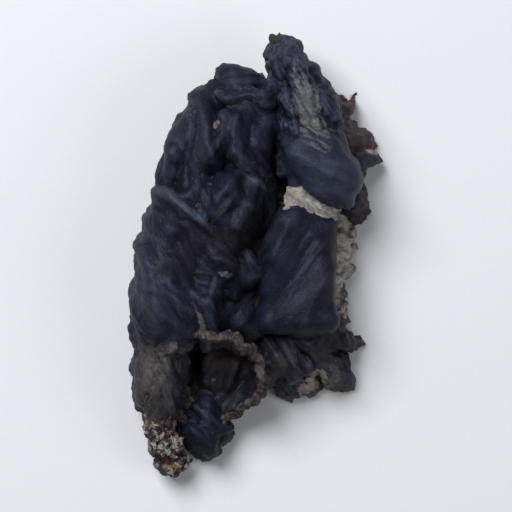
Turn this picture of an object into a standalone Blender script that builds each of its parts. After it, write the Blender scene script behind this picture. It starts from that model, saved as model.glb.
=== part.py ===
"""A dried wood ear mushroom: one clump of thin, crumpled ears that grew from one foot.

Lengths in the tables are millimetres and angles are degrees. The clump lies as it would
on a table, +Z up, with its longest side along Y and its torn foot towards -X and -Y.
"""

import math

import bmesh
import bpy
import numpy as np
from mathutils import Vector, noise

MM = 0.001

# Flesh
SHEET = 0.95  # thickness at the middle of an ear
MARGIN_SHARE = 0.7  # thickness at the margin, as a share of SHEET
MARGIN_START = 0.75  # how far out the sheet starts to change to that thickness
TURN_POWER = 2.8  # how late on its way out an ear turns down, unless its row says flat
TORN_FROM = 0.5  # how far out a margin's corners start, where the ear inside is even
STEPS_OUT = 40  # grid steps of an ear from its middle to its margin
STEPS_ROUND = 120  # grid steps round its margin

# Drying: size and depth of the buckles that all ears share, and of each ear's own
SHARED_BUCKLE = (9.0, 1.1)
OWN_BUCKLE = (4.0, 0.6)
LUMP_BUCKLE = (2.5, 0.9)
PLEAT_STRETCH = 3.0  # length of a pleat over its distance to the next
PLEAT_HEIGHT_STRETCH = 2.0  # the same up and down
PLEAT_WANDER = 0.6  # how far pleats stray sideways, as a share of their distance
NARROW_PLEATS = (2.1, 0.4)  # how much closer than the broad ones, and how high
CREST_SHARPNESS = 2.6
FOLD_SHARPNESS = 1.4
FRILL_POWER = 2.5
SMALL_WAVES = 0.5  # height of the margin's short waves, as a share of its long ones
NOISE_SEED = 8

# How it lies
PRESSED = 0.75  # height at which the sheets' middle surface is pressed flat
PRESSED_SHARE = 0.05  # what is left there of the height differences
REST_CUT = 0.6  # height of the flats that the clump lies on
TABLE_CUTTER = 120.0  # side of the block that cuts them

# The solid
VOXEL = 0.3  # size at which the ears are fused
SMOOTHINGS = 2
TRIANGLES = 9500  # about how many the thinned solid has
FEWER_EACH_TRY = 60

# One row for each ear. middle is the crown of the ear or the floor of a cup. rim goes
# round its widest outline, as seen from above and counter-clockwise: x, y, height, and
# how far the sheet turns on below that outline (past upright if above 0).
# grain is the heading of its pleats, pleat their height, gap their distance, and frill
# the height of the margin's waves. folds are its main creases: from x, y to x, y, with
# the height of the ridge (a groove if below 0) and its half width. Where a row has them,
# flat is how late the ear turns down, bead how thick its margin is beside SHEET, and even
# the share of its outline over which its corners are evened out inside the margin.
EARS = {
    "left_shell": dict(
        middle=(-6.0, 8.0, 13.4),
        rim=[
            (0.6, -3.0, 8.0, 10), (1.9, 5.0, 7.0, 40), (2.2, 13.0, 8.0, 30),
            (2.4, 19.5, 9.0, 0), (-4.5, 20.4, 9.0, 30), (-8.0, 17.8, 7.0, 40),
            (-10.8, 11.0, 5.5, 40), (-13.6, 2.0, 4.5, 40), (-15.2, -7.0, 4.0, 40),
            (-12.5, -12.0, 6.0, -10), (-5.5, -8.8, 8.0, -20),
        ],
        grain=-68, pleat=0.6, gap=4.0, frill=0.4, waves=5, seed=1,
        folds=[
            (-6.6, 19.0, -5.6, 11.0, 1.4, 0.9), (-4.2, 10.4, -6.0, 9.4, -2.4, 1.2),
            (-5.6, 4.6, -3.0, 9.2, 1.6, 0.8), (-1.0, 8.4, -2.8, 3.0, 1.2, 0.8),
            (-2.8, -1.6, 0.5, 1.6, -1.6, 1.2), (-5.0, 18.2, 2.0, 18.4, -2.0, 1.1),
        ],
    ),
    "left_flank": dict(
        middle=(-9.4, 12.0, 12.2),
        rim=[
            (-8.6, 4.5, 10.0, -20), (-6.6, 10.5, 12.2, 20), (-6.8, 17.0, 12.2, 30),
            (-8.0, 18.2, 9.0, 20), (-10.2, 13.8, 6.5, 20), (-12.2, 6.8, 5.5, 20),
        ],
        grain=-105, pleat=0.45, gap=2.8, frill=0.3, waves=5, seed=21,
        folds=[(-8.0, 17.0, -8.8, 8.0, 0.9, 0.8), (-9.6, 15.4, -11.0, 7.6, 0.8, 0.8)],
    ),
    "upper_lobe": dict(
        middle=(-0.8, 14.4, 14.6),
        rim=[
            (1.2, 9.4, 11.5, 0), (2.2, 13.0, 10.5, 30), (2.2, 17.8, 12.0, 10),
            (-1.4, 19.0, 13.5, -10), (-4.4, 17.4, 14.0, 10), (-4.8, 14.2, 14.0, 20),
            (-2.4, 11.4, 13.8, 20),
        ],
        grain=-50, pleat=0.35, gap=2.8, frill=0.2, waves=4, seed=22,
        folds=[
            (-2.6, 12.0, 0.8, 9.6, 1.0, 0.6), (-2.8, 12.4, -2.6, 16.6, 0.8, 0.6),
            (-1.0, 13.2, -0.6, 15.8, -1.2, 1.0),
        ],
    ),
    "lower_face": dict(
        middle=(-10.0, -1.5, 14.0),
        rim=[
            (-6.0, -9.6, 9.5, -20), (-5.4, -4.6, 11.5, 10), (-3.4, -1.4, 13.4, 10),
            (-6.2, 4.0, 14.2, 30), (-9.2, 6.2, 13.4, 30), (-12.2, 7.4, 9.0, 10),
            (-14.8, 1.0, 5.5, 30), (-16.2, -6.0, 4.5, 40), (-14.8, -12.6, 7.0, 0),
            (-10.0, -12.8, 9.5, -30),
        ],
        grain=-52, pleat=0.42, gap=3.0, frill=0.25, waves=6, seed=23,
        folds=[
            (-12.4, 7.4, -6.6, 3.6, 0.9, 0.8), (-4.8, -1.2, -3.6, -2.2, 1.5, 0.9),
            (-10.2, 1.0, -7.8, -4.5, -1.3, 1.1), (-13.8, 0.5, -12.0, -9.5, 0.8, 0.9),
            (-6.7, -6.5, -6.4, -11.0, 1.6, 0.7), (-11.0, -4.0, -8.8, -10.0, 0.7, 0.7),
        ],
    ),
    "crown_roll": dict(
        middle=(-1.6, 20.0, 14.8),
        rim=[
            (2.2, 18.8, 12.5, 40), (2.6, 20.8, 9.0, 40), (-1.5, 21.4, 8.5, 60),
            (-4.2, 20.8, 9.0, 40), (-5.0, 19.2, 12.5, 40), (-2.0, 18.4, 13.4, 70),
        ],
        grain=10, pleat=0.5, gap=2.4, frill=0.2, waves=4, seed=2,
        folds=[(-3.8, 20.4, 0.6, 20.6, -2.2, 0.8), (-4.0, 22.0, 1.4, 22.0, 1.0, 0.7)],
    ),
    "pleated": dict(
        middle=(5.8, 18.6, 12.4),
        rim=[
            (10.6, 12.8, 10.0, -40), (10.4, 17.4, 6.5, -10), (8.9, 20.8, 6.0, 0),
            (5.9, 24.0, 6.0, -10), (4.2, 26.8, 6.0, -50), (3.0, 27.2, 6.5, -60),
            (2.4, 24.4, 7.5, -30), (1.7, 20.8, 8.5, 0),
            (1.8, 17.0, 9.0, 0), (4.2, 11.8, 11.5, -40),
        ],
        grain=-64, pleat=0.6, gap=1.7, frill=0.25, waves=5, seed=3,
        folds=[
            (3.6, 26.6, 7.8, 15.4, 0.9, 0.5), (2.8, 23.6, 5.4, 13.8, 0.8, 0.5),
            (6.6, 22.8, 9.4, 16.2, 0.7, 0.5), (3.6, 21.6, 6.4, 14.8, -0.9, 0.5),
            (5.6, 22.2, 8.4, 15.6, -0.8, 0.4),
        ],
    ),
    "right_fringe": dict(
        middle=(8.5, 12.0, 7.8),
        rim=[
            (8.0, 3.0, 3.0, -40), (12.4, 4.2, 1.4, -40), (13.8, 5.6, 0.6, -40),
            (14.3, 7.8, 0.4, -50), (12.8, 9.0, 2.6, -50), (13.8, 10.3, 3.0, -60),
            (16.0, 11.9, 2.4, -70), (13.6, 12.7, 3.0, -60), (13.0, 13.3, 2.2, -60),
            (15.4, 13.8, 0.2, -60), (13.2, 15.4, 1.2, -60), (11.2, 17.2, 2.0, -50),
            (11.4, 18.4, 1.2, -60), (13.2, 19.8, -0.4, -60), (10.8, 20.2, 0.6, -50),
            (8.2, 20.6, 1.8, -30), (4.0, 19.4, 3.0, -30), (2.0, 10.0, 3.0, -40),
        ],
        grain=20, pleat=0.4, gap=2.2, frill=0.25, waves=7, seed=4, even=0.22,
        folds=[(9.0, 11.0, 14.8, 11.8, 0.6, 0.6), (8.0, 13.0, 13.8, 14.2, 0.6, 0.6)],
    ),
    "smooth_lobe": dict(
        middle=(7.8, 11.4, 13.8),
        rim=[
            (12.2, 6.4, 10.5, -20), (12.5, 11.0, 10.0, -10), (9.6, 15.6, 11.0, -50),
            (4.4, 15.6, 11.0, -50), (2.7, 11.8, 11.2, -20), (3.1, 8.2, 12.0, -30),
            (5.4, 7.6, 12.6, -50), (7.4, 6.5, 12.7, -50), (10.2, 5.0, 11.8, -40),
        ],
        grain=-30, pleat=0.3, gap=3.4, frill=0.15, waves=3, seed=5, flat=4.0,
        folds=[(4.6, 12.2, 11.6, 8.2, 0.7, 1.3), (3.2, 12.6, 4.6, 8.6, -0.7, 1.0)],
    ),
    "pale_lip": dict(
        middle=(6.4, 6.4, 12.1),
        rim=[
            (3.9, 5.0, 11.8, -50), (6.8, 3.7, 11.5, -50), (9.3, 3.1, 11.0, -50),
            (10.2, 5.6, 11.2, -50), (7.6, 9.2, 11.8, -50), (3.8, 8.6, 11.8, -50),
        ],
        grain=-30, pleat=0.1, gap=2.0, frill=0.1, waves=3, seed=6,
    ),
    "panel": dict(
        middle=(5.8, -3.0, 12.6),
        rim=[
            (5.2, -10.7, 9.9, 10), (8.8, -10.1, 9.6, 10), (9.7, -8.0, 9.8, 0),
            (9.9, -1.0, 9.8, -10), (9.9, 4.0, 10.0, -20), (6.6, 5.6, 10.2, -20),
            (3.2, 5.0, 10.0, -10), (1.8, 0.6, 9.8, 0), (1.1, -5.4, 9.8, 0),
            (1.3, -9.9, 9.9, 10),
        ],
        grain=55, pleat=0.28, gap=4.0, frill=0.15, waves=3, seed=7, flat=5.0,
        folds=[
            (3.0, -8.0, 7.8, 0.6, 0.3, 0.5), (6.0, -9.0, 9.4, -2.0, 0.3, 0.5),
            (2.2, -1.0, 4.0, 3.4, 0.3, 0.6), (1.6, -9.2, 9.4, -8.8, 0.7, 0.9),
        ],
    ),
    "pale_edge": dict(
        middle=(8.5, -1.5, 8.0),
        rim=[
            (9.0, -10.0, 2.0, -20), (11.1, -7.6, 0.6, -30), (10.6, -4.6, 1.8, -30),
            (11.9, -1.6, 0.4, -40), (11.2, 1.0, 1.4, -30), (11.7, 4.0, 0.6, -40),
            (7.0, 6.0, 4.0, -20), (5.0, -3.0, 5.0, -20),
        ],
        grain=5, pleat=0.6, gap=1.7, frill=0.4, waves=9, seed=8, even=0.2,
    ),
    "facet": dict(
        middle=(-2.4, -6.2, 9.8),
        rim=[
            (1.6, -9.8, 7.0, -20), (2.2, -5.0, 6.0, -10), (1.2, -1.0, 6.0, -20),
            (-3.2, -1.4, 8.0, 0), (-6.4, -5.5, 8.0, 0), (-6.0, -8.8, 8.0, -20),
            (-2.4, -10.4, 7.5, -20),
        ],
        grain=40, pleat=0.35, gap=3.0, frill=0.3, waves=4, seed=9,
    ),
    "lower_right": dict(
        middle=(5.0, -12.6, 7.8),
        rim=[
            (1.4, -17.8, 1.6, -40), (3.0, -18.5, 0.8, -50), (4.6, -18.8, 0.6, -50),
            (6.4, -18.0, 0.9, -50),
            (7.2, -16.6, 2.2, -50), (9.0, -17.2, 1.2, -50), (10.8, -17.8, 0.2, -60),
            (11.5, -16.6, 0.8, -60), (12.0, -14.8, 1.0, -60), (10.0, -13.3, 3.2, -50),
            (13.3, -11.7, 0.6, -60), (12.1, -10.2, 1.6, -50), (11.4, -8.6, 1.8, -40),
            (7.0, -7.0, 4.0, -30),
            (0.6, -9.0, 5.0, -30), (0.2, -15.0, 3.5, -30),
        ],
        grain=-50, pleat=0.5, gap=2.0, frill=0.4, waves=9, seed=10, even=0.22,
        folds=[
            (5.5, -11.5, 10.8, -17.8, 0.8, 0.6), (4.6, -12.0, 5.2, -18.4, 0.7, 0.6),
            (6.0, -11.0, 12.2, -11.6, 0.7, 0.6), (6.5, -13.0, 8.8, -17.2, -0.8, 0.6),
        ],
    ),
    "arch_cup": dict(
        middle=(-5.3, -17.0, 3.4),
        rim=[
            (-3.0, -21.6, 6.0, -20), (0.8, -19.2, 8.5, -20), (1.7, -14.6, 10.8, -25),
            (-0.7, -11.0, 12.4, -25), (-6.3, -10.0, 13.0, -25), (-10.8, -11.6, 12.0, -20),
            (-12.6, -15.0, 10.0, -15), (-11.0, -19.5, 8.0, -10), (-9.0, -23.0, 5.5, -10),
            (-6.0, -23.6, 4.0, -30),
        ],
        grain=60, pleat=0.45, gap=2.8, frill=0.25, waves=7, seed=11, bead=1.6,
        folds=[(-6.4, -11.0, -6.0, -17.0, 1.4, 0.8), (-2.0, -12.5, -3.6, -17.5, 1.2, 0.8)],
    ),
    "lower_left": dict(
        middle=(-12.4, -16.0, 9.6),
        rim=[
            (-10.2, -20.6, 3.4, -10), (-8.8, -17.0, 6.5, -30), (-10.5, -11.0, 9.5, -40),
            (-14.2, -10.6, 6.5, -10), (-14.8, -16.0, 2.4, 20), (-14.2, -19.6, 1.8, 20),
            (-12.8, -21.4, 2.2, 0),
        ],
        grain=-75, pleat=0.6, gap=2.2, frill=0.35, waves=6, seed=12,
        folds=[(-14.6, -12.0, -14.0, -20.0, 0.9, 0.9), (-12.0, -12.0, -11.6, -19.4, 0.9, 0.8)],
    ),
    "bottom_lobe": dict(
        middle=(-6.9, -22.8, 5.2),
        rim=[
            (-7.2, -26.6, 0.8, 0), (-5.6, -25.4, 1.3, 0), (-5.3, -21.8, 3.0, -10),
            (-6.8, -18.6, 4.0, -20), (-9.2, -21.0, 4.0, -10), (-8.9, -25.0, 1.4, 0),
        ],
        grain=-60, pleat=0.6, gap=1.8, frill=0.3, waves=5, seed=13,
        folds=[(-7.6, -20.5, -4.8, -23.6, 1.2, 0.7), (-8.4, -22.6, -6.0, -25.6, 0.8, 0.6)],
    ),
    "inner_left": dict(
        middle=(-5.0, 4.5, 2.6),
        rim=[
            (1.0, -2.0, 7.0, 20), (1.0, 6.0, 7.0, 10), (-2.0, 13.0, 7.0, 0),
            (-7.0, 14.0, 8.0, 20), (-10.0, 8.0, 7.0, 30), (-10.0, 0.0, 8.0, 20),
            (-6.0, -6.0, 8.0, 0),
        ],
        grain=70, pleat=1.0, gap=3.0, frill=0.8, waves=6, seed=14,
        folds=[(-4.0, -3.0, -6.4, 11.0, 1.6, 0.9), (-1.0, 1.0, -3.0, 11.0, -1.6, 0.9)],
    ),
    "inner_right": dict(
        middle=(4.0, -2.5, 2.4),
        rim=[
            (1.0, -8.0, 6.0, 20), (6.0, -8.0, 6.5, 20), (8.6, -2.0, 6.5, 20),
            (7.5, 5.0, 6.5, 10), (3.0, 7.0, 7.0, 0), (0.5, 2.0, 7.0, 20),
        ],
        grain=100, pleat=0.9, gap=2.6, frill=0.7, waves=6, seed=15,
        folds=[(3.6, -7.0, 4.4, 5.0, 1.4, 0.8)],
    ),
}

# Uneven lumps of flesh: where they are and their half sizes.
LUMPS = {
    "core": ((1.5, -2.0, 6.6), (3.4, 7.0, 1.6)),
    "foot_high": ((-12.9, -22.0, 4.6), (2.0, 2.2, 2.8)),
    "foot_left": ((-14.2, -23.4, 3.4), (1.3, 1.7, 2.2)),
    "foot_middle": ((-12.3, -25.0, 3.9), (2.1, 1.8, 2.6)),
    "foot_low": ((-11.2, -27.4, 2.9), (1.7, 1.5, 2.1)),
}


def ease(x, low, high):
    """0 below low, 1 above high and smooth between."""
    t = np.clip((x - low) / (high - low), 0, 1)
    return t * t * (3 - 2 * t)


def vector_noise(points, size, seed):
    """A smooth random vector for each point, with lumps about size across."""
    shift = Vector((seed * 17.3, seed * -9.1, seed * 5.7))
    return np.array([noise.noise_vector(Vector(p) / size + shift) for p in points])


def value_noise(points, seed):
    shift = Vector((seed * 3.3, 1.7, seed * -2.9))
    return np.array([noise.noise(Vector(p) + shift) for p in points])


def round_curve(points, count):
    """A smooth closed curve through the points, with count places on it."""
    points = np.array(points, float)
    n = len(points)
    t = np.linspace(0, n, count, endpoint=False)
    i = t.astype(int)
    f = (t - i)[:, None]
    a, b, c, d = (points[(i + k) % n] for k in (-1, 0, 1, 2))
    return b + 0.5 * f * (c - a + f * (2 * a - 5 * b + 4 * c - d + f * (3 * (b - c) + d - a)))


def profile(turn_end, steps, lateness):
    """Reach and drop of a sheet that turns from level to turn_end on its way out.

    Both are 1 at its widest place. turn_end has one value for each heading.
    """
    s = np.linspace(0, 1, steps + 1)[:, None]
    turn = np.radians(turn_end)[None, :] * s**lateness
    reach = np.vstack([0 * turn[:1], np.cumsum(np.cos(turn[1:]), 0)])
    drop = np.vstack([0 * turn[:1], np.cumsum(np.sin(turn[1:]), 0)])
    widest = np.argmax(reach, axis=0)
    columns = np.arange(turn.shape[1])
    return reach / reach[widest, columns], drop / drop[widest, columns]


def evened(rim, share):
    """The rim as its moving average over a share of the way round."""
    width = max(1, round(len(rim) * share))
    return np.mean([np.roll(rim, step - width // 2, 0) for step in range(width)], 0)


def ear_surface(ear):
    """The smooth middle surface of an ear, as rows from its middle to its margin."""
    rim = round_curve(ear["rim"], STEPS_ROUND)
    middle = np.array(ear["middle"], float)
    reach, drop = profile(90 + rim[:, 3], STEPS_OUT, ear.get("flat", TURN_POWER))
    inside = evened(rim, ear.get("even", 0))
    torn = ease(np.linspace(0, 1, STEPS_OUT + 1), TORN_FROM, 1.0)[:, None, None]
    outline = inside + torn * (rim - inside)
    points = np.empty(reach.shape + (3,))
    for axis in (0, 1):
        points[..., axis] = middle[axis] + reach * (outline[..., axis] - middle[axis])
    points[..., 2] = middle[2] + drop * (outline[..., 2] - middle[2])
    return points


def sheet_normals(points):
    """Unit normals of the rows and columns of an ear, whose columns go round."""
    out = np.gradient(points, axis=0)
    round_ = np.roll(points, -1, 1) - np.roll(points, 1, 1)
    normal = np.cross(out, round_)
    normal[0] = normal[1].mean(0)
    return normal / (np.linalg.norm(normal, axis=-1, keepdims=True) + 1e-9)


def frills(points, ear):
    """Height of the waves that grow towards the margin."""
    s = np.linspace(0, 1, points.shape[0])[:, None]
    heading = np.linspace(0, 2 * math.pi, points.shape[1], endpoint=False)
    wave = np.sin(heading * ear["waves"] + ear["seed"])
    wave = wave + SMALL_WAVES * np.sin(heading * (ear["waves"] * 2 + 1) + ear["seed"] * 2)
    return ear["frill"] * wave * s**FRILL_POWER


def ridged(value):
    """Turns smooth noise into crests with rounded troughs."""
    return 1 - CREST_SHARPNESS * np.abs(value)


def pleats(points, ear):
    """Height of the drying folds, which run along the ear's grain."""
    flat = points.reshape(-1, 3)
    heading = math.radians(ear["grain"])
    along = flat @ np.array([math.cos(heading), math.sin(heading), 0])
    across = flat @ np.array([-math.sin(heading), math.cos(heading), 0])
    gap = ear["gap"]
    up = flat[:, 2] / (gap * PLEAT_HEIGHT_STRETCH)
    place = np.stack([along / (gap * PLEAT_STRETCH), across / gap, up], 1)
    place = place + vector_noise(flat, gap * 2.5, ear["seed"] + 5) * PLEAT_WANDER
    closer, share = NARROW_PLEATS
    broad = ridged(value_noise(place, ear["seed"]))
    narrow = ridged(value_noise(place * closer, ear["seed"] + 9))
    return (ear["pleat"] * (broad + share * narrow)).reshape(points.shape[:2])


def main_folds(points, ear):
    """Height of the ear's main creases at each point."""
    height = np.zeros(points.shape[:2])
    place = points[..., :2]
    for x0, y0, x1, y1, rise, width in ear.get("folds", ()):
        start, line = np.array([x0, y0]), np.array([x1 - x0, y1 - y0])
        share = np.clip((place - start) @ line / (line @ line), 0, 1)
        away = np.linalg.norm(place - start - share[..., None] * line, axis=-1)
        height += rise * np.exp(-((away / width) ** FOLD_SHARPNESS))
    return height


def crumple(points, seed):
    """Moves points by the buckles that drying leaves."""
    flat = points.reshape(-1, 3)
    size, depth = SHARED_BUCKLE
    moved = flat + vector_noise(flat, size, 3) * depth
    size, depth = OWN_BUCKLE
    moved = moved + vector_noise(flat, size, seed + 7) * depth
    return moved.reshape(points.shape)


def press_to_table(points):
    """Flattens what would reach below the table onto it."""
    height = points[..., 2]
    points[..., 2] = np.where(
        height < PRESSED, PRESSED + (height - PRESSED) * PRESSED_SHARE, height
    )
    return points


def ear_mesh(ear):
    """A closed thin solid for one ear: vertices in millimetres, and faces."""
    middle = ear_surface(ear)
    middle = crumple(middle, ear["seed"])
    height = pleats(middle, ear) + main_folds(middle, ear) + frills(middle, ear)
    middle = middle + sheet_normals(middle) * height[..., None]
    middle = press_to_table(middle)
    normals = sheet_normals(middle)
    rows, columns = middle.shape[:2]
    s = np.linspace(0, 1, rows)[:, None]
    margin = ear.get("bead", MARGIN_SHARE)
    thick = SHEET * (1 + (margin - 1) * ease(s, MARGIN_START, 1.0)) + np.zeros((rows, columns))
    upper = middle + normals * thick[..., None] / 2
    lower = middle - normals * thick[..., None] / 2
    vertices = np.concatenate([upper.reshape(-1, 3), lower.reshape(-1, 3)])
    count = rows * columns

    def at(i, j, side):
        return side * count + i * columns + j % columns

    faces = []
    for j in range(columns):
        for i in range(rows - 1):
            faces.append((at(i, j, 0), at(i + 1, j, 0), at(i + 1, j + 1, 0), at(i, j + 1, 0)))
            faces.append((at(i, j, 1), at(i, j + 1, 1), at(i + 1, j + 1, 1), at(i + 1, j, 1)))
        end = rows - 1
        faces.append((at(end, j, 0), at(end, j, 1), at(end, j + 1, 1), at(end, j + 1, 0)))
    return vertices, faces


def add_ear(name, ear):
    vertices, faces = ear_mesh(ear)
    mesh = bpy.data.meshes.new(name)
    mesh.from_pydata([tuple(p) for p in vertices * MM], [], faces)
    shape = bmesh.new()
    shape.from_mesh(mesh)
    bmesh.ops.remove_doubles(shape, verts=shape.verts, dist=1e-6)
    bmesh.ops.recalc_face_normals(shape, faces=shape.faces)
    shape.to_mesh(mesh)
    shape.free()
    obj = bpy.data.objects.new(name, mesh)
    bpy.context.scene.collection.objects.link(obj)
    return obj


def add_lump(name, middle, radii, seed):
    """An uneven ellipsoid of flesh."""
    shape = bmesh.new()
    bmesh.ops.create_icosphere(shape, subdivisions=4, radius=1.0)
    mesh = bpy.data.meshes.new(name)
    points = np.array([v.co for v in shape.verts]) * np.array(radii) + np.array(middle)
    size, depth = LUMP_BUCKLE
    points = points + vector_noise(points, size, seed) * depth
    for vertex, point in zip(shape.verts, points):
        vertex.co = Vector(point) * MM
    shape.to_mesh(mesh)
    shape.free()
    obj = bpy.data.objects.new(name, mesh)
    bpy.context.scene.collection.objects.link(obj)
    return obj


def join(objects, name):
    bpy.ops.object.select_all(action="DESELECT")
    for obj in objects:
        obj.select_set(True)
    bpy.context.view_layer.objects.active = objects[0]
    bpy.ops.object.join()
    objects[0].name = name
    return objects[0]


def applied(obj):
    """Replaces the object's mesh with what its modifiers make of it."""
    graph = bpy.context.evaluated_depsgraph_get()
    mesh = bpy.data.meshes.new_from_object(obj.evaluated_get(graph))
    obj.modifiers.clear()
    obj.data = mesh


def keep_outer_skin(obj):
    """Deletes closed pockets that the fusing left inside."""
    shape = bmesh.new()
    shape.from_mesh(obj.data)
    left, skins = set(shape.verts), []
    while left:
        skin, front = [], [left.pop()]
        while front:
            vertex = front.pop()
            skin.append(vertex)
            near = {edge.other_vert(vertex) for edge in vertex.link_edges} & left
            left -= near
            front += near
        skins.append(skin)
    skins.sort(key=len)
    for skin in skins[:-1]:
        bmesh.ops.delete(shape, geom=skin, context="VERTS")
    shape.to_mesh(obj.data)
    shape.free()


def drop_flaps(obj):
    """Deletes pairs of faces that thinning out folded flat onto each other."""
    shape = bmesh.new()
    shape.from_mesh(obj.data)
    seen, flaps = {}, []
    for face in shape.faces:
        corners = frozenset(face.verts)
        if corners in seen:
            flaps += [face, seen[corners]]
        seen[corners] = face
    bmesh.ops.delete(shape, geom=flaps, context="FACES")
    shape.to_mesh(obj.data)
    shape.free()


def is_sound(obj):
    """Whether every edge joins just two faces."""
    shape = bmesh.new()
    shape.from_mesh(obj.data)
    sound = all(len(edge.link_faces) == 2 for edge in shape.edges)
    shape.free()
    return sound


def cut_level(obj):
    """Cuts the lowest folds flat, where the clump lies."""
    bpy.ops.mesh.primitive_cube_add(size=TABLE_CUTTER * MM)
    cutter = bpy.context.object
    cutter.location = (0, 0, (REST_CUT - TABLE_CUTTER / 2) * MM)
    cutter.hide_render = True
    cutter.display_type = "WIRE"
    flat = obj.modifiers.new("flat", "BOOLEAN")
    flat.operation = "DIFFERENCE"
    flat.object = cutter
    obj.modifiers.new("triangles", "TRIANGULATE")
    bpy.context.view_layer.update()
    applied(obj)
    bpy.data.objects.remove(cutter)


def thinned(fused):
    """A copy with few faces, cut level, from the first try whose edges are all sound."""
    faces = TRIANGLES
    while True:
        clump = fused.copy()
        clump.data = fused.data.copy()
        bpy.context.scene.collection.objects.link(clump)
        fewer = clump.modifiers.new("fewer", "DECIMATE")
        fewer.ratio = faces / (2 * len(fused.data.polygons))
        fewer.use_collapse_triangulate = True
        applied(clump)
        drop_flaps(clump)
        cut_level(clump)
        if is_sound(clump):
            break
        bpy.data.objects.remove(clump)
        faces -= FEWER_EACH_TRY
    bpy.data.objects.remove(fused)
    clump.name = "wood_ear"
    return clump


def centre_on_table(obj):
    """Moves the mesh so that its box stands on the origin."""
    points = np.array([v.co for v in obj.data.vertices])
    low, high = points.min(0), points.max(0)
    shift = np.array([(low[0] + high[0]) / 2, (low[1] + high[1]) / 2, low[2]])
    for vertex in obj.data.vertices:
        vertex.co -= Vector(shift)


def dried_flesh():
    """Blue-black skin with a slight sheen."""
    material = bpy.data.materials.new("dried_flesh")
    material.use_nodes = True
    shader = material.node_tree.nodes["Principled BSDF"]
    shader.inputs["Base Color"].default_value = (0.022, 0.022, 0.034, 1)
    shader.inputs["Roughness"].default_value = 0.5
    shader.inputs["Metallic"].default_value = 0.0
    return material


def build():
    for obj in list(bpy.data.objects):
        bpy.data.objects.remove(obj)
    noise.seed_set(NOISE_SEED)
    pieces = [add_ear(name, ear) for name, ear in EARS.items()]
    for seed, (name, (middle, radii)) in enumerate(LUMPS.items()):
        pieces.append(add_lump(name, middle, radii, seed + 31))
    fused = join(pieces, "fused_ears")
    fuse = fused.modifiers.new("fuse", "REMESH")
    fuse.mode = "VOXEL"
    fuse.voxel_size = VOXEL * MM
    soften = fused.modifiers.new("soften", "SMOOTH")
    soften.factor = 0.5
    soften.iterations = SMOOTHINGS
    applied(fused)
    keep_outer_skin(fused)
    clump = thinned(fused)
    centre_on_table(clump)
    clump.data.materials.clear()
    clump.data.materials.append(dried_flesh())
    clump.data.shade_smooth()
    return clump


clump = build()
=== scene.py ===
import math
import random

import bpy
import numpy as np
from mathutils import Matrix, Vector, kdtree, noise
from mathutils.bvhtree import BVHTree


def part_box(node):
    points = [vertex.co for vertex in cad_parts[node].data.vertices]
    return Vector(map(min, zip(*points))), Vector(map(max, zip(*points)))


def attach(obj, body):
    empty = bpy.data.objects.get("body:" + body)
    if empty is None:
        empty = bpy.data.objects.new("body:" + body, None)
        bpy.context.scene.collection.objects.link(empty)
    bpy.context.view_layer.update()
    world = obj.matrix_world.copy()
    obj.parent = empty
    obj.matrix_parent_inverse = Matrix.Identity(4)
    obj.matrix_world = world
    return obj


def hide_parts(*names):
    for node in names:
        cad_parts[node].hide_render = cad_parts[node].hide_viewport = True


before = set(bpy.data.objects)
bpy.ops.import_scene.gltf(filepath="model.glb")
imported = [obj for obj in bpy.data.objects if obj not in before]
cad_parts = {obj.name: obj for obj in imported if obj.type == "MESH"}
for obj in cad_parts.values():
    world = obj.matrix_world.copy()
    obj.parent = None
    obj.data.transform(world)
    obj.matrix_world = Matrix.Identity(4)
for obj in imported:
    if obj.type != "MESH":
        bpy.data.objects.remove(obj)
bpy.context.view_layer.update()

mm = 0.001
print("stage: frame loaded")


# Helpers for objects and meshes

def pick(pieces):
    if bpy.context.object and bpy.context.object.mode != "OBJECT":
        bpy.ops.object.mode_set(mode="OBJECT")
    bpy.ops.object.select_all(action="DESELECT")
    for piece in pieces:
        piece.select_set(True)
    if pieces:
        bpy.context.view_layer.objects.active = pieces[0]


def modify(piece, kind, **settings):
    pick([piece])
    bpy.ops.object.modifier_add(type=kind)
    modifier = piece.modifiers[-1]
    for name, value in settings.items():
        setattr(modifier, name, value)
    bpy.ops.object.modifier_apply(modifier=modifier.name)


def weld(piece, distance):
    pick([piece])
    bpy.ops.object.mode_set(mode="EDIT")
    bpy.ops.mesh.select_all(action="SELECT")
    bpy.ops.mesh.remove_doubles(threshold=distance)
    bpy.ops.mesh.normals_make_consistent(inside=False)
    bpy.ops.object.mode_set(mode="OBJECT")


def read(piece, what):
    flat = np.empty(len(piece.data.vertices) * 3, np.float32)
    piece.data.vertices.foreach_get(what, flat)
    return flat.reshape(-1, 3).astype(float)


def place(piece, where):
    piece.data.vertices.foreach_set("co", where.astype(np.float32).ravel())
    piece.data.update()


def paint(piece, name, values):
    # values of the surface for the material, one for each vertex
    kind = "FLOAT_VECTOR" if values.ndim == 2 else "FLOAT"
    attribute = piece.data.attributes.new(name, kind, "POINT")
    attribute.data.foreach_set("vector" if values.ndim == 2 else "value",
                               values.astype(np.float32).ravel())


def ease(value, low, high):
    share = np.clip((value - low) / (high - low), 0, 1)
    return share * share * (3 - 2 * share)


def softened(piece, where, passes):
    # each point moves halfway to the middle of its neighbours, again and again
    ends = np.empty(len(piece.data.edges) * 2, np.int32)
    piece.data.edges.foreach_get("vertices", ends)
    first, second = ends.reshape(-1, 2).T
    count = len(where)
    near = np.bincount(first, minlength=count) + np.bincount(second, minlength=count)
    for _ in range(passes):
        total = np.stack([
            np.bincount(first, where[second, axis], count)
            + np.bincount(second, where[first, axis], count)
            for axis in range(3)
        ], 1)
        where = (where + total / near[:, None]) / 2
    return where


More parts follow.
